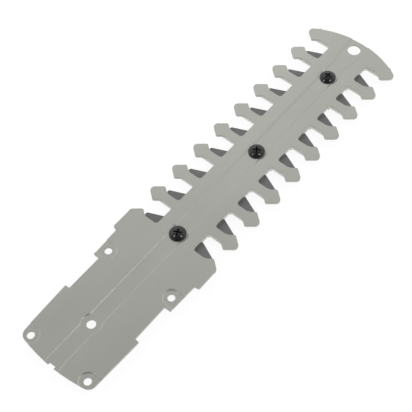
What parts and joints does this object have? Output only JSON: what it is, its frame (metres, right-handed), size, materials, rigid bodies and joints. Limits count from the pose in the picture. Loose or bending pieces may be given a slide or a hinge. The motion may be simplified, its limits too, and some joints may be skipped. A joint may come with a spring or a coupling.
{
  "type": "shrub trimmer blade",
  "caption": "Flat shrub trimmer blade set: a blunt toothed guard plate over a fixed comb, with a sliding toothed cutter between comb and back bar, held by dome headed screws.",
  "frame": {"origin": "on the guide bar's rest face, on the centre line, level with the first free pair of guard teeth", "axes": "+Y along the centre line towards the tip, +Z away from the rest face towards the screw heads, +X to the right"},
  "size_m": [0.0662, 0.2912, 0.0102],
  "materials": {
    "guard_steel": "satin",
    "comb_steel": "satin",
    "cutter_steel": "satin",
    "bar_steel": "satin",
    "bush_steel": "satin",
    "screw_black": "gloss"
  },
  "bodies": {
    "frame": {"guard_plate": "guard_steel", "fixed_comb": "comb_steel", "guide_bar": "bar_steel", "base_bush": "bush_steel", "middle_bush": "bush_steel", "tip_bush": "bush_steel", "guard_screws": "screw_black"},
    "cutter": {"cutter_blade": "cutter_steel"}
  },
  "joints": [
    {"name": "cutter_slide", "type": "slide", "parent": "frame", "child": "cutter", "axis": [0, 1, 0], "range_m": [0, 0.0112]}
  ]
}
